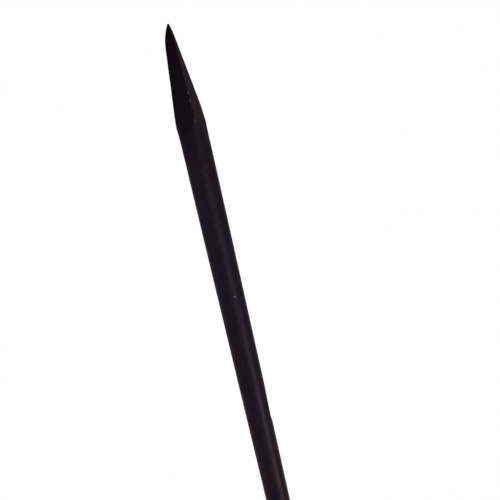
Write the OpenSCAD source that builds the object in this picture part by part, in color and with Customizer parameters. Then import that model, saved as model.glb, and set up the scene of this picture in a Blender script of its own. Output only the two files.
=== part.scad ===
// Digging bar: a round steel bar with a forged wedge point and a welded tamping head.
// Millimetres. The origin is the middle of the tamping face, +Z runs up the bar to the point.
// The broad faces of the point look along Y, its narrow faces along X.

/* [Bar] */
// Length from the tamping face to the tip
bar_length = 1500; // [900:10:1900]
// Diameter of the round shaft
shaft_d = 28.6; // [24:0.1:34]
// Depth by which the neck under the point is drawn down from the shaft
neck_draw = 0.13; // [0.05:0.01:1]
// Length of the even neck, from the heel's shoulder
neck_length = 36; // [20:1:80]
// Length over which the neck swells back to the shaft
neck_fade = 65; // [30:1:150]

/* [Wedge point] */
// Length of the hammered faces, from the tip to where they start to run out
point_length = 85; // [70:1:130]
// Depth of the hammered faces under the shaft's surface where they start to run out
flat_depth = 3.8; // [3:0.1:4.4]
// Length over which the hammered faces run out on the heel
runout_length = 20; // [14:1:45]
// Distance from the end of the hammered faces to the crest of the heel's corners
crest_length = 9; // [4:0.5:12]
// Height of the heel's corners over the shaft's surface
corner_proud = 0.3; // [0.1:0.05:1.2]
// Length over which the heel's corners drop to the neck
shoulder_length = 6; // [4:0.5:16]
// Width of the blunt tip
tip_width = 1.2; // [0.8:0.1:2]
// Thickness of the blunt tip
tip_thickness = 0.8; // [0.5:0.1:2]
// Reach of the plain narrow side from the axis at the tip, before its nose is rounded
nose_reach = 1.65; // [1.2:0.05:2.5]
// Radius that rounds the nose in to the tip
nose_radius = 75; // [50:1:110]
// Reach of the clipped narrow side from the axis at the tip, before it is clipped
clip_reach = 5.8; // [4:0.1:7]
// Radius of the clip that brings that side in to the tip
clip_radius = 48; // [40:1:110]

/* [Tamping head] */
// Diameter of the tamping face
head_d = 70; // [62:1:90]
// Height of the head, from its face to the shoulder of the bar
head_height = 36; // [30:1:52]
// Height of the rim
rim_height = 13; // [9:0.5:17]
// Wall of the hub, outside the shaft's diameter
hub_wall = 8; // [6:0.5:10]
// Radius of the hollow sweep between rim and hub
sweep_radius = 10; // [4:0.5:16]
// Edge round on the back of the rim and on the hub
back_round = 2.5; // [1:0.25:3]
// Bevel round the tamping face
face_bevel = 1.5; // [0.5:0.25:3]

/* [Joint of bar and head] */
// Width of the bar's shoulder, which seats on the hub
spigot_shoulder = 2; // [1:0.25:4]
// Gap all round the spigot in the head's bore
spigot_gap = 0.1; // [0.05:0.05:0.3]
// Depth of the weld groove round the spigot's end
groove_depth = 4; // [2:0.5:6]
// Leg of the fillet weld on the hub
weld_leg = 4.5; // [3:0.5:5.5]
// Flatness of the fillet weld's crown, as part of its leg
crown_share = 0.8; // [0.3:0.1:1.5]

/* [Hidden] */
shaft_r = shaft_d / 2;
neck_r = shaft_r - neck_draw;
corner_r = shaft_r + corner_proud;
heel_half = shaft_r - flat_depth;
spigot_r = shaft_r - spigot_shoulder;
bore_r = spigot_r + spigot_gap;
hub_r = shaft_r + hub_wall;
head_r = head_d / 2;

heel_z = bar_length - point_length;
runout_z = heel_z - runout_length;
crest_z = heel_z - crest_length;
shoulder_z = crest_z - shoulder_length;
neck_z = shoulder_z - neck_length;
fade_z = neck_z - neck_fade;
tip_half = tip_width / 2;

// The faces leave the heel a little outside its surface, and the blank's end is wider than the finished tip
exit_share = 1.05;
blank_tip_share = 0.83;
exit_r = corner_r * exit_share;
blank_tip_r = corner_r * blank_tip_share;

// The sweep is limited by the land and the height that the rounds leave, the hub's round by the weld's toe
sweep_r = min(sweep_radius, head_r - hub_r - back_round, head_height - rim_height - back_round);
hub_round = min(back_round, hub_wall - weld_leg);
crown_drop = weld_leg * crown_share;
crown_r = norm([crown_drop, crown_drop + weld_leg]);

// Overrun of every cut past the solid
overrun = 5;
$fn = 96;

// Round stock before the point is hammered: spigot, shaft, neck and the swollen heel
module blank() {
    rotate_extrude()
        polygon([
            [0, 0],
            [spigot_r - groove_depth, 0],
            [spigot_r, groove_depth],
            [spigot_r, head_height],
            [shaft_r, head_height],
            [shaft_r, fade_z],
            [neck_r, neck_z],
            [neck_r, shoulder_z],
            [corner_r, crest_z],
            [blank_tip_r, bar_length],
            [0, bar_length]
        ]);
}

// What is taken off one side of the point: a slope from the tip to the heel, then the run-out on the shaft
module cheek(reach) {
    polygon([
        [reach, bar_length + overrun],
        [reach, bar_length],
        [heel_half, heel_z],
        [exit_r, runout_z],
        [exit_r + overrun, runout_z],
        [exit_r + overrun, bar_length + overrun]
    ]);
}

// A narrow side: its slope, brought in to the tip's corner by an arc that starts on the slope
module clipped_cheek(reach, radius) {
    clip_length = sqrt(2 * radius * (reach - tip_half));
    start = [reach + (heel_half - reach) * clip_length / point_length, bar_length - clip_length];
    end = [tip_half, bar_length];
    chord = end - start;
    rise = sqrt(pow(radius, 2) - pow(norm(chord) / 2, 2));
    centre = (start + end) / 2 + rise * [-chord.y, chord.x] / norm(chord);

    cheek(reach);
    difference() {
        translate([tip_half, start.y])
            square([exit_r + overrun - tip_half, clip_length + overrun]);
        translate(centre)
            circle(radius);
    }
}

// Stands an outline up in the XZ plane and takes it right through the bar
module through_bar() {
    rotate([90, 0, 0])
        linear_extrude(2 * (exit_r + overrun), center = true)
            children();
}

module forged_bar() {
    color([0.06, 0.055, 0.065])
        difference() {
            blank();
            through_bar() {
                clipped_cheek(nose_reach, nose_radius);
                mirror([1, 0])
                    clipped_cheek(clip_reach, clip_radius);
            }
            for (turn = [90, 270])
                rotate([0, 0, turn])
                    through_bar()
                        cheek(tip_thickness / 2);
        }
}

// What rounds an outward corner: the square beyond a quarter circle about the round's centre
module round_off(radius) {
    difference() {
        square(radius + overrun);
        circle(radius);
    }
}

// Half section of the head: face, rim, hollow sweep up the back, hub
module head_section() {
    difference() {
        polygon([
            [bore_r, groove_depth],
            [bore_r + groove_depth, 0],
            [head_r - face_bevel, 0],
            [head_r, face_bevel],
            [head_r, rim_height],
            [hub_r + sweep_r, rim_height],
            [hub_r, rim_height + sweep_r],
            [hub_r, head_height],
            [bore_r, head_height]
        ]);
        translate([hub_r + sweep_r, rim_height + sweep_r])
            circle(sweep_r);
        translate([head_r - back_round, rim_height - back_round])
            round_off(back_round);
        translate([hub_r - hub_round, head_height - hub_round])
            round_off(hub_round);
    }
}

module tamping_head() {
    color([0.07, 0.065, 0.075])
        rotate_extrude()
            head_section();
}

// Fillet bead in the corner between the hub's top and the shaft, with a low crown
module hub_weld() {
    color([0.1, 0.095, 0.1])
        rotate_extrude()
            translate([shaft_r, head_height])
                intersection() {
                    square(weld_leg);
                    translate([-crown_drop, -crown_drop])
                        circle(crown_r);
                }
}

// Weld that fills the groove round the spigot's end, dressed flush with the tamping face
module face_weld() {
    color([0.09, 0.085, 0.09])
        rotate_extrude()
            polygon([
                [spigot_r - groove_depth, 0],
                [bore_r + groove_depth, 0],
                [bore_r, groove_depth],
                [spigot_r, groove_depth]
            ]);
}

forged_bar();
tamping_head();
hub_weld();
face_weld();
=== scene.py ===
"""Digging bar: black forged wedge point, round shaft and welded tamping head, in a plain white studio."""

import math

import bpy
import numpy as np
from mathutils import Matrix, Vector, noise


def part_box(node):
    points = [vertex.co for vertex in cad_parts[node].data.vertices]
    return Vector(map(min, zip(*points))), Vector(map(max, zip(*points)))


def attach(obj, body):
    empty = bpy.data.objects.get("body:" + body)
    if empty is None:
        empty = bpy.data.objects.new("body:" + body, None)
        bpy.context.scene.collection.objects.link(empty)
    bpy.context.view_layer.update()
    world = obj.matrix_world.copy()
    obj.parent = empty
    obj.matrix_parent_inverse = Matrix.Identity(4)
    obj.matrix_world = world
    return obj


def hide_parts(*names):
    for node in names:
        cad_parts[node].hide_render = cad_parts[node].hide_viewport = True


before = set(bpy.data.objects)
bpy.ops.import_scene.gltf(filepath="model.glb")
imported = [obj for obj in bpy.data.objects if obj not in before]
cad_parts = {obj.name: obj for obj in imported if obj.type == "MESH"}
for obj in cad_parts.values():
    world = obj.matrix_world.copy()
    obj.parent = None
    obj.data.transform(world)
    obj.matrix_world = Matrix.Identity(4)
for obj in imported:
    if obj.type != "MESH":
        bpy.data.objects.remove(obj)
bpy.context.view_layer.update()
scene = bpy.context.scene

MM = 0.001
FULL_TURN = 2 * math.pi
NEARLY_ZERO = 1e-4
# The power by which each octave of noise is weaker than the last, and how much finer it is
OCTAVE_FALL, OCTAVE_STEP = 1.0, 2.0


def round_size(node):
    """Radius and top of a round node in millimetres, to a tenth, from its box in the frame."""
    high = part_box(node)[1]
    return round(high.x / MM, 1), round(high.z / MM, 1)


# Sizes in millimetres, from the frame
SHAFT_R, LENGTH = round_size("forged_bar")
HEAD_R, HEAD_H = round_size("tamping_head")
GROOVE_R, GROOVE_DEPTH = round_size("face_weld")
WELD_LEG = round_size("hub_weld")[1] - HEAD_H

# The wedge point and the neck, as in the solids
POINT_LENGTH = 85.0
FLAT_DEPTH = 3.8
RUNOUT_LENGTH = 20.0
EXIT_SHARE = 1.05
CREST_LENGTH = 9.0
CORNER_PROUD = 0.3
SHOULDER_LENGTH = 6.0
BLANK_TIP_SHARE = 0.83
TIP_HALF_WIDTH, TIP_HALF_THICKNESS = 0.6, 0.4
NOSE_REACH, NOSE_RADIUS = 1.65, 75.0
CLIP_REACH, CLIP_RADIUS = 5.8, 48.0
NECK_DRAW, NECK_LENGTH, NECK_FADE = 0.13, 36.0, 65.0

# The head and the welds, as in the solids
RIM_H = 13.0
HUB_WALL = 8.0
SWEEP_R = 10.0
BACK_ROUND = 2.5
FACE_BEVEL = 1.5
SPIGOT_GAP = 0.1
CROWN_SHARE = 0.8

# What follows from these sizes. Places along the bar are distances below its tip
HEEL_HALF = SHAFT_R - FLAT_DEPTH
CORNER_R = SHAFT_R + CORNER_PROUD
EXIT_R = CORNER_R * EXIT_SHARE
NECK_R = SHAFT_R - NECK_DRAW
CREST = POINT_LENGTH + CREST_LENGTH
NECK_TOP = CREST + SHOULDER_LENGTH
NECK_FOOT = NECK_TOP + NECK_LENGTH
SHAFT_TOP = NECK_FOOT + NECK_FADE
SEAT = LENGTH - HEAD_H
HUB_R = SHAFT_R + HUB_WALL
BORE_R = GROOVE_R - GROOVE_DEPTH
SPIGOT_R = BORE_R - SPIGOT_GAP
SPIGOT_END_R = SPIGOT_R - GROOVE_DEPTH
CROWN_DROP = WELD_LEG * CROWN_SHARE


# Shared forms


def ramp(value, start, stop):
    """0 at start, 1 at stop, even between them and level beyond. Start may be the higher one."""
    return np.clip((value - start) / (stop - start), 0, 1)


def bell(value, width, power=2):
    """A hump of height 1 and about that width to each side. A higher power makes its top flatter."""
    return np.exp(-(np.abs(value / width) ** power))


def soft_min(first, second, width):
    """The lower of two values, blended where they are within about that width of each other."""
    share = np.clip(0.5 + 0.5 * (second - first) / width, 0, 1)
    return second * (1 - share) + first * share - width * share * (1 - share)


def rough(points, size, octaves=3):
    """Smooth noise from about -1 to 1 at each point, with features of about that size."""
    places = (Vector(point) / size for point in points)
    return np.array([noise.fractal(place, OCTAVE_FALL, OCTAVE_STEP, octaves) for place in places])


def ray_reach(limit, cosine):
    """Distance along a ray to a flat that stands that far from the axis, by the cosine between the two."""
    return limit / np.maximum(cosine, NEARLY_ZERO)


def from_axis(points):
    """Distance of each point from the bar's axis."""
    return np.hypot(points[:, 0], points[:, 1])


def push_out(points, amount):
    """Moves points away from the axis by an amount each."""
    points[:, :2] *= (1 + amount / np.maximum(from_axis(points), 1.0))[:, None]


def even_turns(around):
    """Angles of that many even steps all the way round."""
    return np.arange(around) * FULL_TURN / around


def even(start, stop, count):
    """Points along a line, without its last one."""
    return np.linspace(start, stop, count + 1)[:-1]


def arc(centre, radius, start, stop, count):
    """Points along an arc, from and to angles in degrees."""
    angle = np.radians(np.linspace(start, stop, count))
    return np.stack([centre[0] + radius * np.cos(angle), centre[1] + radius * np.sin(angle)], -1)


def ring_points(radius, turn, height):
    """Points round Z at one height, by angle and radius."""
    return np.stack([radius * np.cos(turn), radius * np.sin(turn), np.full(len(turn), height)], -1)


def revolve(section, turn):
    """Points of a section of (radius, height) taken round Z: one section for all turns, or one for each."""
    x = section[..., 0] * np.cos(turn)[:, None]
    y = section[..., 0] * np.sin(turn)[:, None]
    z = np.broadcast_to(section[..., 1], x.shape)
    return np.stack([x, y, z], -1).reshape(-1, 3)


def grid_faces(rows, columns, closed):
    """Quads between rows of points that each close on themselves.

    The rows are rings from the top down. If closed, they are sections one after another round Z, each
    clockwise in (radius, height), and the last joins the first.
    """
    row, column = np.meshgrid(np.arange(rows if closed else rows - 1), np.arange(columns), indexing="ij")
    next_row, next_column = (row + 1) % rows, (column + 1) % columns
    corners = [(row, column), (next_row, column), (next_row, next_column), (row, next_column)]
    if closed:
        # A section runs down the outside with the next one beside it, so the quads go the other way round
        corners = [corners[0], *corners[:0:-1]]
    return np.stack([at * columns + beside for at, beside in corners], -1).reshape(-1, 4).tolist()


def add_mesh(name, points, faces, node, sharp=35.0):
    """A piece from points in millimetres. It stands for a solid and rides on the one body.

    Edges that turn by more than the sharp angle, in degrees, are shaded as sharp ones.
    """
    mesh = bpy.data.meshes.new(name)
    mesh.from_pydata((np.asarray(points) * MM).tolist(), [], faces)
    mesh.update()
    mesh.shade_smooth()
    mesh.set_sharp_from_angle(angle=math.radians(sharp))
    piece = bpy.data.objects.new(name, mesh)
    scene.collection.objects.link(piece)
    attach(piece, "root")
    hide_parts(node)
    return piece


def add_values(piece, name, values):
    """A number for each vertex, for the material to read."""
    data = piece.data.attributes.new(name, "FLOAT", "POINT").data
    data.foreach_set("value", np.asarray(values, np.float32))


# The bar

# Softness of the point's arrises, of the edges of its faces on the round, and of the crease at the heel
ARRIS_SOFT, ROUND_SOFT, CREASE_SOFT = 0.5, 0.3, 0.6
# The blunt tip: the length of its rounding, and its share of the full size at the very end
TIP_ROUND, TIP_SHARE = 0.6, 0.25
# Hammer marks: depth and size, where they grow from the tip, and where they fade on the neck
MARK_DEPTH, MARK_SIZE = 0.10, 11.0
MARKS_GROW, MARKS_FADE = (0.0, 14.0), (150.0, 110.0)
# Unevenness of the rolled shaft: depth and size, its scale in X, Y and Z, and where it grows
WAVE_DEPTH, WAVE_SIZE = 0.05, 16.0
WAVE_SCALE = (1, 1, 0.3)
WAVES_GROW = (90.0, 150.0)
# The heel's lean to the clipped side: the most, its place, and its length to each side
LEAN, LEAN_AT, LEAN_LENGTH = 0.35, 91.0, 17.0

# Chips on the arrises of the point: the arris by its signs in X and Y, the place, half the length,
# and how far the coat is off
CHIPS = [
    (1, -1, 61.6, 2.2, 0.92),
    (1, -1, 69.0, 2.6, 0.8),
    (1, -1, 88.5, 3.0, 0.75),
    (-1, 1, 27.0, 2.0, 0.7),
    (-1, 1, 71.0, 3.5, 0.75),
]
CHIP_DEPTH, CHIP_WIDTH = 0.2, 0.7
# Shallow flat that a glancing blow left on the shaft: its turn from +X in degrees, places along it,
# and its depth at each, which is below zero where the flat is clear of the shaft
STRIKE_TURN = 25.0
STRIKE_AT = [402.0, 410.0, 447.0, 453.0]
STRIKE_DEPTH = [-0.3, 0.25, 0.8, -0.3]

# Scale of the forging, dark as painted shade on the broad faces: the softness of its edge at the arrises
# and, by place, on the round of the heel
SHADE_EDGE = 0.25
HEEL_FADE_AT = [POINT_LENGTH - 10, POINT_LENGTH + 7, POINT_LENGTH + 20]
HEEL_FADE = [0.25, 0.8, 2.5]
# Its reach past the arrises of the clipped side, and where that grows towards the tip
SHADE_WRAP = 0.75
WRAP_GROWS = (60.0, 40.0)
# Its strength round the neck by place, as painted shade that leaves the +X side lit, and the cosines to +X
# between which it comes in
NECK_SHADE_AT = [POINT_LENGTH, POINT_LENGTH + 14, POINT_LENGTH + 20, POINT_LENGTH + 55]
NECK_SHADE = [0, 0.8, 0.7, 0]
NECK_SIDE = (0.95, 0.45)

# Blue that the tempering heat left on the shaft, by place
TEMPER_AT = [140.0, 190.0, 285.0, 330.0]
TEMPER = [0, 1, 1, 0]
# Painted brown shade, darker and warmer, on one side of the shaft: its turn from +X in degrees, the cosines
# from there between which it comes in, and its strength by place
BROWN_SHADE_TURN = 26.0
BROWN_SHADE_SIDE = (0.45, 0.75)
BROWN_SHADE_AT = [370.0, 480.0, 640.0, 900.0]
BROWN_SHADE = [0, 1, 1, 0]

# Points of a ring. Each arris draws some of them to it: their share, where that grows towards the tip,
# the width in millimetres over which they lie, and the most in radians
BAR_AROUND = 160
ARRIS_DRAW = 0.11
DRAW_GROWS = (130.0, 95.0)
DRAW_WIDTH, DRAW_WIDEST = 0.9, 0.3
# Number of angles at which the spacing of the points is worked out
SPACING_ANGLES = 2049


def clipped(below, side, reach, radius):
    """A narrow side's reach, brought in to the tip by an arc that starts on its slope."""
    length = math.sqrt(2 * radius * (reach - TIP_HALF_WIDTH))
    if below >= length:
        return side
    start = np.array([reach + (HEEL_HALF - reach) * length / POINT_LENGTH, length])
    end = np.array([TIP_HALF_WIDTH, 0.0])
    chord = end - start
    rise = math.sqrt(radius**2 - chord @ chord / 4)
    centre = (start + end) / 2 + rise * np.array([chord[1], -chord[0]]) / math.sqrt(chord @ chord)
    return min(side, centre[0] + math.sqrt(max(radius**2 - (below - centre[1]) ** 2, 0)))


def point_limits(below):
    """Reach of the point's faces from the axis: the plain narrow one, the clipped one, each broad one."""
    run_out = HEEL_HALF + (EXIT_R - HEEL_HALF) * (below - POINT_LENGTH) / RUNOUT_LENGTH
    at_tip = (NOSE_REACH, CLIP_REACH, TIP_HALF_THICKNESS)
    slopes = (reach + (HEEL_HALF - reach) * below / POINT_LENGTH for reach in at_tip)
    nose, clip, broad = (-soft_min(-slope, -run_out, CREASE_SOFT) for slope in slopes)
    nose = clipped(below, nose, NOSE_REACH, NOSE_RADIUS)
    clip = clipped(below, clip, CLIP_REACH, CLIP_RADIUS)
    return nose, clip, broad


def blank_radius(below):
    """Radius of the round stock before the point is hammered."""
    places = [0, CREST, NECK_TOP, NECK_FOOT, SHAFT_TOP, LENGTH]
    radii = [CORNER_R * BLANK_TIP_SHARE, CORNER_R, NECK_R, NECK_R, SHAFT_R, SHAFT_R]
    return np.interp(below, places, radii)


def struck_flat(below, turn):
    """Reach of the strike mark's flat at each turn, clear of the shaft where there is no mark."""
    reach = SHAFT_R - np.interp(below, STRIKE_AT, STRIKE_DEPTH)
    return ray_reach(reach, np.cos(turn - math.radians(STRIKE_TURN)))


def bar_angles(below):
    """Angles of one ring's points, close together at the four arrises of the point."""
    nose, clip, broad = point_limits(below)
    turns = np.linspace(-math.pi, math.pi, SPACING_ANGLES)
    weight = np.full(SPACING_ANGLES, 1 / FULL_TURN)
    share = ARRIS_DRAW * ramp(below, *DRAW_GROWS)
    for x in (nose, -clip):
        for y in (broad, -broad):
            width = min(DRAW_WIDTH / math.hypot(x, y), DRAW_WIDEST)
            weight += share * bell(turns - math.atan2(y, x), width) / (width * math.sqrt(math.pi))
    total = np.concatenate([[0], np.cumsum((weight[1:] + weight[:-1]) / 2)])
    return np.interp((np.arange(BAR_AROUND) + 0.5) / BAR_AROUND, total / total[-1], turns)


def chipped(below, x_way, y_way):
    """How far the coat is off the arrises, for each point of a ring."""
    off = np.zeros(BAR_AROUND)
    for x_sign, y_sign, place, half_length, amount in CHIPS:
        on_arris = (x_way * x_sign > 0) * (y_way * y_sign > 0)
        off = np.maximum(off, amount * on_arris * bell(below - place, half_length, power=4))
    return off


def scale_and_painted_shade(below, to_narrow, to_broad, stock, x_way):
    """Scale of the forging with painted shade: full on the broad faces, fading out round the neck but for
    its +X side.

    Towards the tip it goes a little way round the arrises of the clipped side.
    """
    wrap = SHADE_WRAP * (x_way < 0) * ramp(below, *WRAP_GROWS)
    heel_fade = np.interp(below, HEEL_FADE_AT, HEEL_FADE)
    face = ramp(to_narrow + wrap - to_broad, 0, SHADE_EDGE) * ramp(stock - to_broad, 0, heel_fade)
    neck = np.interp(below, NECK_SHADE_AT, NECK_SHADE) * ramp(x_way, *NECK_SIDE)
    return np.maximum(face, neck)


def painted_brown_shade(below, turn):
    """How strong the painted brown shade is at each turn."""
    side = ramp(np.cos(turn - math.radians(BROWN_SHADE_TURN)), *BROWN_SHADE_SIDE)
    return side * np.interp(below, BROWN_SHADE_AT, BROWN_SHADE)


def bar_ring(below):
    """One ring of the bar: its points, and the values of its coat at each by name."""
    turn = bar_angles(below)
    x_way, y_way = np.cos(turn), np.sin(turn)
    nose, clip, broad = point_limits(below)
    blunt = TIP_SHARE + (1 - TIP_SHARE) * math.sqrt(1 - (1 - min(below / TIP_ROUND, 1)) ** 2)
    to_narrow = ray_reach(blunt * np.where(x_way > 0, nose, clip), np.abs(x_way))
    to_broad = ray_reach(blunt * broad, np.abs(y_way))
    stock = blank_radius(below)
    radius = soft_min(soft_min(to_narrow, to_broad, ARRIS_SOFT), stock, ROUND_SOFT)
    radius = soft_min(radius, struck_flat(below, turn), ROUND_SOFT)
    coat = {
        "worn": bell(to_narrow - to_broad, CHIP_WIDTH) * chipped(below, x_way, y_way),
        # Scale with painted shade: dark on the broad faces and round the neck, but not on the neck's +X
        # side
        "scale": scale_and_painted_shade(below, to_narrow, to_broad, stock, x_way),
        "temper": np.full(BAR_AROUND, np.interp(below, TEMPER_AT, TEMPER)),
        # Painted brown shade on one side of the lower shaft
        "bloom": painted_brown_shade(below, turn),
    }
    return ring_points(radius, turn, LENGTH - below), coat


def ring_places():
    """Places of the bar's rings, closer together where its shape changes."""
    tip = [0, 0.12, 0.3, 0.6]
    ends = [1, 10, NECK_FOOT + 4, SHAFT_TOP + 19, STRIKE_AT[0] - 2, STRIKE_AT[-1] + 4, SEAT - 1]
    steps = [0.75, 1.25, 4, 7, 1.8, 7]
    stretches = [np.arange(start, stop, step) for start, stop, step in zip(ends, ends[1:], steps)]
    return np.concatenate([tip, *stretches, [SEAT]])


def hammer(points, worn):
    """Moves the bar's points for hammer marks, the shaft's unevenness, the chips and the heel's lean."""
    below = LENGTH - points[:, 2]
    marked = ramp(below, *MARKS_GROW) * ramp(below, *MARKS_FADE)
    marks = MARK_DEPTH * rough(points, MARK_SIZE, octaves=2) * marked
    waves = WAVE_DEPTH * rough(points * WAVE_SCALE, WAVE_SIZE, octaves=2) * ramp(below, *WAVES_GROW)
    push_out(points, marks + waves - CHIP_DEPTH * worn)
    points[:, 0] -= LEAN * bell(below - LEAN_AT, LEAN_LENGTH)


def make_bar():
    """Point, neck and shaft in rings from the tip down, then the spigot, closed by a point at each end."""
    rings, coats = zip(*(bar_ring(below) for below in ring_places()))
    points = np.concatenate(rings)
    coat = {name: np.concatenate([ring[name] for ring in coats]) for name in coats[0]}
    hammer(points, coat["worn"])
    turn = bar_angles(SEAT)
    spigot = [(SPIGOT_R, HEAD_H), (SPIGOT_R, GROOVE_DEPTH), (SPIGOT_END_R, 0.0)]
    spigot_rings = [ring_points(radius, turn, height) for radius, height in spigot]
    points = np.concatenate([points, *spigot_rings, [[0, 0, LENGTH], [0, 0, 0]]])
    ring_count = len(rings) + len(spigot)
    faces = grid_faces(ring_count, BAR_AROUND, closed=False)
    tip, foot = len(points) - 2, len(points) - 1
    last = (ring_count - 1) * BAR_AROUND
    for here in range(BAR_AROUND):
        beside = (here + 1) % BAR_AROUND
        faces += [[tip, here, beside], [foot, last + beside, last + here]]
    piece = add_mesh("digging_bar", points, faces, "forged_bar")
    for name, values in coat.items():
        plain = np.zeros(len(points) - len(values))
        add_values(piece, name, np.concatenate([values, plain]))
    return piece


# The head

HEAD_AROUND = 176
# Radius of the softened edges of the bevel, and the first step off the end of a round
EDGE_SOFT, EDGE_STEP = 0.5, 0.6
# Forging skin: depth and size, the heights between which it grows, and the plain land round the bore
SKIN_DEPTH, SKIN_SIZE = 0.12, 9.0
SKIN_GROWS = (0.2, 2.2)
PLAIN_LAND = 2.0
# Wear of the bevel: its reach, the size and shift of its patches, and their mean and most
WEAR_REACH = 1.4
WEAR_SIZE, WEAR_SHIFT = 9.0, 13.0
WEAR_MEAN, WEAR_MOST = 0.35, 0.62


def head_section():
    """Half section of the head: hub, hollow sweep, rim, bevelled face, weld groove and bore."""
    hub_side, rim_side = HEAD_H - BACK_ROUND, RIM_H - BACK_ROUND
    inset = EDGE_SOFT * (math.sqrt(2) - 1)
    bevel_top, bevel_in = FACE_BEVEL + inset, HEAD_R - FACE_BEVEL - inset
    return np.concatenate(
        [
            even((BORE_R, HEAD_H), (HUB_R - BACK_ROUND, HEAD_H), count=4),
            arc((HUB_R - BACK_ROUND, hub_side), BACK_ROUND, 90, 0, count=9),
            even((HUB_R, hub_side - EDGE_STEP), (HUB_R, RIM_H + SWEEP_R), count=6),
            arc((HUB_R + SWEEP_R, RIM_H + SWEEP_R), SWEEP_R, 180, 270, count=19),
            arc((HEAD_R - BACK_ROUND, rim_side), BACK_ROUND, 90, 0, count=9),
            even((HEAD_R, rim_side - EDGE_STEP), (HEAD_R, bevel_top), count=6),
            arc((HEAD_R - EDGE_SOFT, bevel_top), EDGE_SOFT, 0, -45, count=4),
            arc((bevel_in, EDGE_SOFT), EDGE_SOFT, -45, -90, count=4),
            even((bevel_in - EDGE_STEP, 0), (GROOVE_R, 0), count=10),
            [(GROOVE_R, 0), (BORE_R, GROOVE_DEPTH)],
        ]
    )


def make_head():
    """The head: a forging skin on its back and rim, a flat face, and wear round the edge of the face."""
    section = head_section()
    points = revolve(section, even_turns(HEAD_AROUND))
    skin = SKIN_DEPTH * rough(points, SKIN_SIZE) * ramp(points[:, 2], *SKIN_GROWS)
    push_out(points, skin * (from_axis(points) > BORE_R + PLAIN_LAND))
    faces = grid_faces(HEAD_AROUND, len(section), closed=True)
    piece = add_mesh("head_forging", points, faces, "tamping_head")
    bevel_middle = (HEAD_R - FACE_BEVEL / 2, FACE_BEVEL / 2)
    from_bevel = np.hypot(*(section - bevel_middle).T)
    edge = np.tile(bell(from_bevel, WEAR_REACH, power=4), HEAD_AROUND)
    patches = np.clip(WEAR_MEAN + rough(points + WEAR_SHIFT, WEAR_SIZE, octaves=2), 0, WEAR_MOST)
    add_values(piece, "worn", edge * patches)
    return piece


# The welds

BEAD_AROUND, BEAD_ACROSS = 470, 19
DRESSED_AROUND = 240
WELD_SHARP = 60.0
# Ripples of the hub weld: number and height, how far they trail at the toes, the share of each that rises,
# and the power by which the rest falls
RIPPLES, RIPPLE_HEIGHT, RIPPLE_TRAIL = 47, 0.3, 0.7
RIPPLE_RISE, RIPPLE_FALL = 0.12, 1.4
# How far the bead lies under the crown between ripples, and the power by which it fills out from its toes
BEAD_SUNK, BEAD_FILL = 0.1, 0.6
# Wander of the bead: scale and level of its noise, and its effect on the width and the ripples' places
WANDER_SCALE, WANDER_LEVEL = 3.1, 0.3
WANDER_WIDTH, WANDER_TURN = 0.06, 0.02
# The lap where the bead ends on its start, with a crater beside it. Places and widths are in radians
LAP_AT, LAP_HEIGHT, LAP_WIDTH = 4.0, 0.45, 0.16
CRATER_OFF, CRATER_DEPTH, CRATER_WIDTH = 0.13, 0.5, 0.05
# Flare of the bead's toes and its length, then the toes' thin edge and how deep it goes in there
FLARE, FLARE_LENGTH = 0.55, 0.4
TOE_EDGE, TOE_DEPTH = 0.1, 0.3
# Low places of the dressed weld: depth and size, and the part of the noise that stays flush
LOW_DEPTH, LOW_SIZE, LOW_FLUSH = 0.25, 2.6, 0.05


def bead_section(turn):
    """Section of the hub weld's bead at one turn: its crown with a ripple on it, then its sunk back."""
    wander = noise.noise(Vector((math.cos(turn), math.sin(turn), WANDER_LEVEL)) * WANDER_SCALE)
    # Places across the bead from 0 to 1, closer together towards its toes
    place = 0.5 - 0.5 * np.cos(np.linspace(0, math.pi, BEAD_ACROSS))
    ripple_at = RIPPLES * (turn + WANDER_TURN * wander) / FULL_TURN
    phase = (ripple_at + RIPPLE_TRAIL * (2 * place - 1) ** 2) % 1
    ripple = RIPPLE_HEIGHT * (1 - phase) ** RIPPLE_FALL * ramp(phase, 0, RIPPLE_RISE)
    from_lap = (turn - LAP_AT + math.pi) % FULL_TURN - math.pi
    lap = LAP_HEIGHT * bell(from_lap, LAP_WIDTH) - CRATER_DEPTH * bell(from_lap - CRATER_OFF, CRATER_WIDTH)
    bulge = (ripple + lap - BEAD_SUNK) * np.sin(math.pi * place) ** BEAD_FILL
    # The crown is an arc about a centre inside the shaft and the hub
    top_angle = math.atan2(CROWN_DROP + WELD_LEG, CROWN_DROP)
    angle = top_angle + (math.pi / 2 - 2 * top_angle) * place
    reach = math.hypot(CROWN_DROP, CROWN_DROP + WELD_LEG) * (1 + WANDER_WIDTH * wander) + bulge
    radius = SHAFT_R - CROWN_DROP + reach * np.cos(angle)
    height = HEAD_H - CROWN_DROP + reach * np.sin(angle)
    # The toes flare out on the shaft and the hub, and go a little into them
    flare_up = FLARE * np.exp(-np.maximum(radius - SHAFT_R, 0) / FLARE_LENGTH)
    flare_out = FLARE * np.exp(-np.maximum(height - HEAD_H, 0) / FLARE_LENGTH)
    radius, height = radius + flare_out, height + flare_up
    inside, under = SHAFT_R - TOE_DEPTH, HEAD_H - TOE_DEPTH
    radius = [inside, *radius, radius[-1] + TOE_EDGE, inside]
    height = [height[0] + TOE_EDGE, *height, under, under]
    return np.stack([radius, height], -1)


def make_hub_weld():
    """A bead of overlapping crescents round the shaft, with the lap where it starts and ends."""
    turns = even_turns(BEAD_AROUND)
    sections = np.array([bead_section(turn) for turn in turns])
    faces = grid_faces(BEAD_AROUND, sections.shape[1], closed=True)
    return add_mesh("weld_bead", revolve(sections, turns), faces, "hub_weld", WELD_SHARP)


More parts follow.
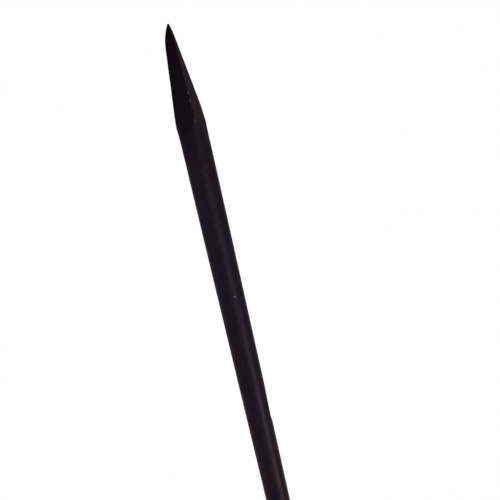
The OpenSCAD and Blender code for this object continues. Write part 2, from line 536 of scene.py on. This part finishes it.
def make_face_weld():
    """The dressed weld in the tamping face: flush, with the low places that the grinding left."""
    flush = even((GROOVE_R, 0), (SPIGOT_END_R, 0), count=16)
    section = np.concatenate([flush, [(SPIGOT_END_R, 0), (SPIGOT_R, GROOVE_DEPTH), (BORE_R, GROOVE_DEPTH)]])
    points = revolve(section, even_turns(DRESSED_AROUND))
    low = LOW_DEPTH * np.clip(rough(points, LOW_SIZE) - LOW_FLUSH, 0, 1)
    radius = from_axis(points)
    from_seam = np.clip(np.minimum(radius - SPIGOT_END_R, GROOVE_R - radius), 0, 1)
    points[:, 2] += np.where(points[:, 2] < NEARLY_ZERO, low * from_seam, 0)
    faces = grid_faces(DRESSED_AROUND, len(section), closed=True)
    return add_mesh("dressed_weld", points, faces, "face_weld", WELD_SHARP)


# Materials

WHITE = (1, 1, 1, 1)
BLACK = (0.0116, 0.0086, 0.0134, 1)
BROWN_BLACK = (0.0140, 0.0098, 0.0126, 1)
BLUE_BLACK = (0.0106, 0.0090, 0.0134, 1)
# Painted shade: the scale's darker colours at the tip and at the heel
TIP_SHADE = (0.0062, 0.0040, 0.0062, 1)
HEEL_SHADE = (0.0074, 0.0060, 0.0090, 1)
TEMPER_BLUE = (0.0120, 0.0092, 0.0155, 1)
# Colour of the painted brown shade
BROWN_SHADE_BLACK = (0.0130, 0.0063, 0.0030, 1)
STEEL = (0.13, 0.12, 0.118, 1)
EDGE_TINT = (0.61, 0.58, 0.59, 1)
# Places along the bar between which the scale's painted shade goes from the tip's colour to the heel's
SHADE_SHIFT = (20.0, 75.0)
# Values of noise between which the coat turns brown and turns blue
BROWN_SPAN, BLUE_SPAN = (0.38, 0.64), (0.50, 0.66)
# Values between which noise mostly lies, and what they become as roughness and as brightness of speckle
NOISE_SPAN = (0.3, 0.7)
SHEEN, SPECKLE = (0.38, 0.50), (0.72, 1.28)
# Strengths of a tint in its patches
TINT_PATCHES = (0.4, 1.0)
# What scale adds to the roughness, and what bare steel takes off it
SCALE_DULL, STEEL_GLOSS = 0.1, 0.12
# Sums of wear and noise between which steel shows
BARE_SPAN = (0.95, 1.25)
# Heights of grain and pits in metres, the strength of the grain, and that of the pits in the roughest skin
GRAIN_HEIGHT, PIT_HEIGHT = 0.0002, 0.0006
GRAIN_STRENGTH, PIT_STRENGTH = 0.10, 0.3
# Small chips on the shaft: turn from +X in degrees, then height above the tamping face and radius
# in millimetres. A share of the radius is fully bare
SPECKS = [
    (-49.3, 1223.7, 0.75),
    (28.0, 1096.0, 0.8),
    (112.0, 1312.0, 1.0),
    (171.0, 905.0, 1.1),
    (-130.0, 640.0, 1.0),
]
SPECK_CORE = 0.6


class Nodes:
    """The node tree of a material or a world, with short ways to add and join nodes."""

    # Sockets of the colour mix, which share their names with others
    MIX_FIRST, MIX_SECOND, MIX_RESULT = 6, 7, 2

    def __init__(self, owner):
        owner.use_nodes = True
        self.tree = owner.node_tree

    def fill(self, node, inputs):
        """Links each input to a socket, or sets it to a value."""
        for key, value in inputs.items():
            if isinstance(value, bpy.types.NodeSocket):
                self.tree.links.new(value, node.inputs[key])
            else:
                node.inputs[key].default_value = value

    def add(self, kind, inputs=None, **settings):
        node = self.tree.nodes.new(kind)
        for key, value in settings.items():
            setattr(node, key, value)
        self.fill(node, inputs or {})
        return node

    def place(self):
        return self.add("ShaderNodeTexCoord").outputs["Object"]

    def attribute(self, name):
        return self.add("ShaderNodeAttribute", attribute_name=name).outputs["Fac"]

    def noise(self, where, scale, detail, roughness=0.55):
        inputs = {"Vector": where, "Scale": scale, "Detail": detail, "Roughness": roughness}
        return self.add("ShaderNodeTexNoise", inputs).outputs["Fac"]

    def spread(self, value, span, to=(0.0, 1.0), **settings):
        """A value from one span taken to another, and held at its ends."""
        low, high = span
        inputs = {"Value": value, "From Min": low, "From Max": high, "To Min": to[0], "To Max": to[1]}
        return self.add("ShaderNodeMapRange", inputs, **settings).outputs["Result"]

    def calculate(self, operation, first, second):
        return self.add("ShaderNodeMath", {0: first, 1: second}, operation=operation).outputs["Value"]

    def mix(self, factor, first, second):
        inputs = {"Factor": factor, self.MIX_FIRST: first, self.MIX_SECOND: second}
        return self.add("ShaderNodeMix", inputs, data_type="RGBA").outputs[self.MIX_RESULT]

    def mix_shaders(self, factor, first, second):
        inputs = {0: factor, 1: first.outputs[0], 2: second.outputs[0]}
        return self.add("ShaderNodeMixShader", inputs).outputs[0]

    def bump(self, height, distance, strength, **before):
        inputs = {"Height": height, "Distance": distance, "Strength": strength, **before}
        return self.add("ShaderNodeBump", inputs).outputs["Normal"]

    def shows_background(self):
        """1 for rays that show the background: straight to the camera, or by way of a gloss or glass."""
        path = self.add("ShaderNodeLightPath").outputs
        seen = self.calculate("MAXIMUM", path["Is Camera Ray"], path["Is Glossy Ray"])
        return self.calculate("MAXIMUM", seen, path["Is Transmission Ray"])


def cloudy_black(nodes, where):
    """Colour of the coat, in clouds of plain, brown and blue black."""
    browner = nodes.spread(nodes.noise(where, scale=55, detail=5), BROWN_SPAN)
    bluer = nodes.spread(nodes.noise(where, scale=38, detail=3), BLUE_SPAN)
    return nodes.mix(bluer, nodes.mix(browner, BLACK, BROWN_BLACK), BLUE_BLACK)


def add_tint(nodes, where, name, tint, colour):
    """Colour with a patchy tint, by the bar's value of that name."""
    patches = nodes.spread(nodes.noise(where, scale=75, detail=4), NOISE_SPAN, TINT_PATCHES)
    return nodes.mix(nodes.calculate("MULTIPLY", nodes.attribute(name), patches), colour, tint)


def add_scale_and_shade(nodes, place, colour, sheen):
    """Colour and sheen with the duller scale of the hammered point, its darker colour painted shade, bluer
    towards the heel.
    """
    scale = nodes.attribute("scale")
    height = nodes.add("ShaderNodeSeparateXYZ", {0: place}).outputs["Z"]
    bluer = nodes.spread(height, [(LENGTH - below) * MM for below in SHADE_SHIFT])
    colour = nodes.mix(scale, colour, nodes.mix(bluer, TIP_SHADE, HEEL_SHADE))
    return colour, nodes.calculate("ADD", sheen, nodes.calculate("MULTIPLY", scale, SCALE_DULL))


def add_speckle(nodes, place, colour):
    """Colour with a fine speckle of lighter and darker grains."""
    value = nodes.spread(nodes.noise(place, scale=620, detail=3, roughness=0.6), NOISE_SPAN, SPECKLE)
    return nodes.add("ShaderNodeHueSaturation", {"Value": value, "Color": colour}).outputs["Color"]


def grain_and_pits(nodes, place, skin):
    """Normal with fine grain, and with pits by how rough the skin is."""
    grain = nodes.noise(place, scale=1700, detail=3)
    pits = nodes.noise(place, scale=330, detail=4, roughness=0.6)
    normal = nodes.bump(grain, GRAIN_HEIGHT, GRAIN_STRENGTH)
    return nodes.bump(pits, PIT_HEIGHT, PIT_STRENGTH * skin, Normal=normal)


def flecks(nodes, place):
    """1 in the bare flecks of the worn edges."""
    fleck = nodes.noise(place, scale=700, detail=4, roughness=0.65)
    return nodes.spread(nodes.calculate("ADD", nodes.attribute("worn"), fleck), BARE_SPAN)


def specks(nodes, place):
    """1 in the small chips of the shaft."""
    total = None
    for degrees, height, radius in SPECKS:
        turn = math.radians(degrees)
        middle = Vector((SHAFT_R * math.cos(turn), SHAFT_R * math.sin(turn), height)) * MM
        away = nodes.add("ShaderNodeVectorMath", {0: place, 1: middle}, operation="DISTANCE")
        inside = nodes.spread(away.outputs["Value"], (radius * MM, radius * SPECK_CORE * MM))
        total = inside if total is None else nodes.calculate("MAXIMUM", total, inside)
    return total


def black_coat(name, drawn=1.0, skin=0.5, worn=True, hammered=False):
    """Satin black finish on forged steel: cloudy colour and sheen, fine grain, bare flecks on the edges.

    Clouds are drawn out along the bar where drawn is below 1. Skin is how rough the skin is, from 0 to 1.
    Worn coats are bare on their edges, and hammered ones have the bar's tints with a painted brown shade,
    scale with painted shade and small chips.
    """
    material = bpy.data.materials.new(name)
    nodes = Nodes(material)
    place = nodes.place()
    mapping = nodes.add("ShaderNodeMapping", {"Vector": place, "Scale": (1, 1, drawn)})
    drawn_place = mapping.outputs["Vector"]
    colour = cloudy_black(nodes, drawn_place)
    sheen = nodes.spread(nodes.noise(drawn_place, scale=130, detail=4), NOISE_SPAN, SHEEN)
    if hammered:
        colour = add_tint(nodes, drawn_place, "temper", TEMPER_BLUE, colour)
        # Painted brown shade on one side of the lower shaft
        colour = add_tint(nodes, drawn_place, "bloom", BROWN_SHADE_BLACK, colour)
        # Duller scale, its darker colour painted shade
        colour, sheen = add_scale_and_shade(nodes, place, colour, sheen)
    colour = add_speckle(nodes, place, colour)
    if worn:
        bare = flecks(nodes, place)
        if hammered:
            bare = nodes.calculate("MAXIMUM", bare, specks(nodes, place))
        colour = nodes.mix(bare, colour, STEEL)
        sheen = nodes.calculate("SUBTRACT", sheen, nodes.calculate("MULTIPLY", bare, STEEL_GLOSS))
    surface = {
        "Base Color": colour,
        "Roughness": sheen,
        "Normal": grain_and_pits(nodes, place, skin),
        "Metallic": 1.0,
        "Specular Tint": EDGE_TINT,
    }
    nodes.fill(nodes.tree.nodes["Principled BSDF"], surface)
    return material


def paint(piece, material):
    piece.data.materials.append(material)


paint(make_bar(), black_coat("black_bar_coat", drawn=0.22, hammered=True))
paint(make_head(), black_coat("black_head_coat", skin=0.9))
paint(make_hub_weld(), black_coat("weld_coat", worn=False, skin=0.6))
paint(make_face_weld(), black_coat("ground_weld_coat", worn=False, skin=0.9))


# Studio, in metres, degrees and watts

# The camera's lens and sensor in millimetres, its place and its turn
LENS, SENSOR = 50.765, 36
CAMERA_AT = (0.2953, -0.5956, 1.5627)
CAMERA_TURN = (65.455, 10.923, 18.86)
# Half the side of the floor, its drop under the tamping face, its greys, roughness and gloss,
# and the distances from the bar between which it runs out into white
FLOOR_HALF, FLOOR_DROP = 40.0, 0.0005
FLOOR_GREYS = (0.93, 0.96)
FLOOR_ROUGH, FLOOR_GLOSS = 0.9, 0.1
FLOOR_WHITENS = (0.1, 0.85)
# Strength of the sky's light on the floor
SKY_LIGHT = 0.5
# Colours of the lamps, and the height on the bar that they face
PLAIN_LIGHT, WARM_LIGHT = (1, 1, 1), (1, 0.88, 0.78)
LAMPS_FACE = 0.9


def make_world():
    """White where the background shows, and a softer sky for the floor."""
    world = bpy.data.worlds.new("studio")
    nodes = Nodes(world)
    sky = nodes.add("ShaderNodeBackground", {"Color": WHITE, "Strength": SKY_LIGHT})
    background = nodes.tree.nodes["Background"]
    nodes.fill(background, {"Color": WHITE, "Strength": 1.0})
    surface = nodes.mix_shaders(nodes.shows_background(), sky, background)
    nodes.fill(nodes.tree.nodes["World Output"], {"Surface": surface})
    scene.world = world


def make_floor():
    """A plain square just under the tamping face."""
    mesh = bpy.data.meshes.new("floor")
    signs = ((-1, -1), (1, -1), (1, 1), (-1, 1))
    corners = [(x * FLOOR_HALF, y * FLOOR_HALF, -FLOOR_DROP) for x, y in signs]
    mesh.from_pydata(corners, [], [(0, 1, 2, 3)])
    floor = bpy.data.objects.new("floor", mesh)
    scene.collection.objects.link(floor)
    return floor


def pale_floor():
    """Pale grey that keeps the shadow round the bar and runs out into white."""
    material = bpy.data.materials.new("pale_floor")
    nodes = Nodes(material)
    place = nodes.place()
    grey = nodes.spread(nodes.noise(place, scale=9, detail=3), NOISE_SPAN, FLOOR_GREYS)
    pale = nodes.tree.nodes["Principled BSDF"]
    nodes.fill(pale, {"Base Color": grey, "Roughness": FLOOR_ROUGH, "Specular IOR Level": FLOOR_GLOSS})
    away = nodes.add("ShaderNodeVectorMath", {0: place}, operation="LENGTH").outputs["Value"]
    far = nodes.spread(away, FLOOR_WHITENS, interpolation_type="SMOOTHERSTEP")
    white = nodes.add("ShaderNodeEmission", {"Color": WHITE, "Strength": 1.0})
    share = nodes.calculate("MULTIPLY", far, nodes.shows_background())
    nodes.fill(nodes.tree.nodes["Material Output"], {"Surface": nodes.mix_shaders(share, pale, white)})
    return material


def around_bar(degrees, distance, height):
    """A place round the bar, by its angle from 0 in front to 90 on +X, distance and height."""
    angle = math.radians(degrees)
    return Vector((distance * math.sin(angle), -distance * math.cos(angle), height))


def make_lamp(name, top, foot, width, power, colour=PLAIN_LIGHT):
    """A soft box that faces the bar, from one place round it to another."""
    top, foot = around_bar(*top), around_bar(*foot)
    middle, up = (top + foot) / 2, top - foot
    lamp = bpy.data.lights.new(name, "AREA")
    lamp.shape = "RECTANGLE"
    lamp.size, lamp.size_y = width, up.length
    lamp.energy = power
    lamp.color = colour
    up.normalize()
    back = middle - Vector((0, 0, LAMPS_FACE))
    back = (back - up * back.dot(up)).normalized()
    holder = bpy.data.objects.new(name, lamp)
    turn = Matrix((up.cross(back), up, back)).transposed()
    holder.matrix_world = Matrix.Translation(middle) @ turn.to_4x4()
    holder.visible_camera = False
    scene.collection.objects.link(holder)


def make_camera():
    lens = bpy.data.cameras.new("camera")
    lens.lens, lens.sensor_width = LENS, SENSOR
    camera = bpy.data.objects.new("camera", lens)
    camera.location = CAMERA_AT
    camera.rotation_euler = [math.radians(angle) for angle in CAMERA_TURN]
    scene.collection.objects.link(camera)
    scene.camera = camera


make_world()
paint(make_floor(), pale_floor())
make_lamp("strip_box", top=(41, 1.1, 1.35), foot=(71, 1.1, 0.05), width=0.4, power=3.3)
make_lamp("low_box", top=(70, 0.8, 0.6), foot=(77, 0.8, 0.05), width=0.24, power=3.4, colour=WARM_LIGHT)
make_lamp("back_box", top=(204, 1.2, 1.5), foot=(209, 1.2, 0.05), width=0.3, power=4)
make_lamp("top_box", top=(180, 1.8, 2.6), foot=(180, 0.6, 3.2), width=1.6, power=22)
make_camera()
scene.view_settings.view_transform = "Standard"
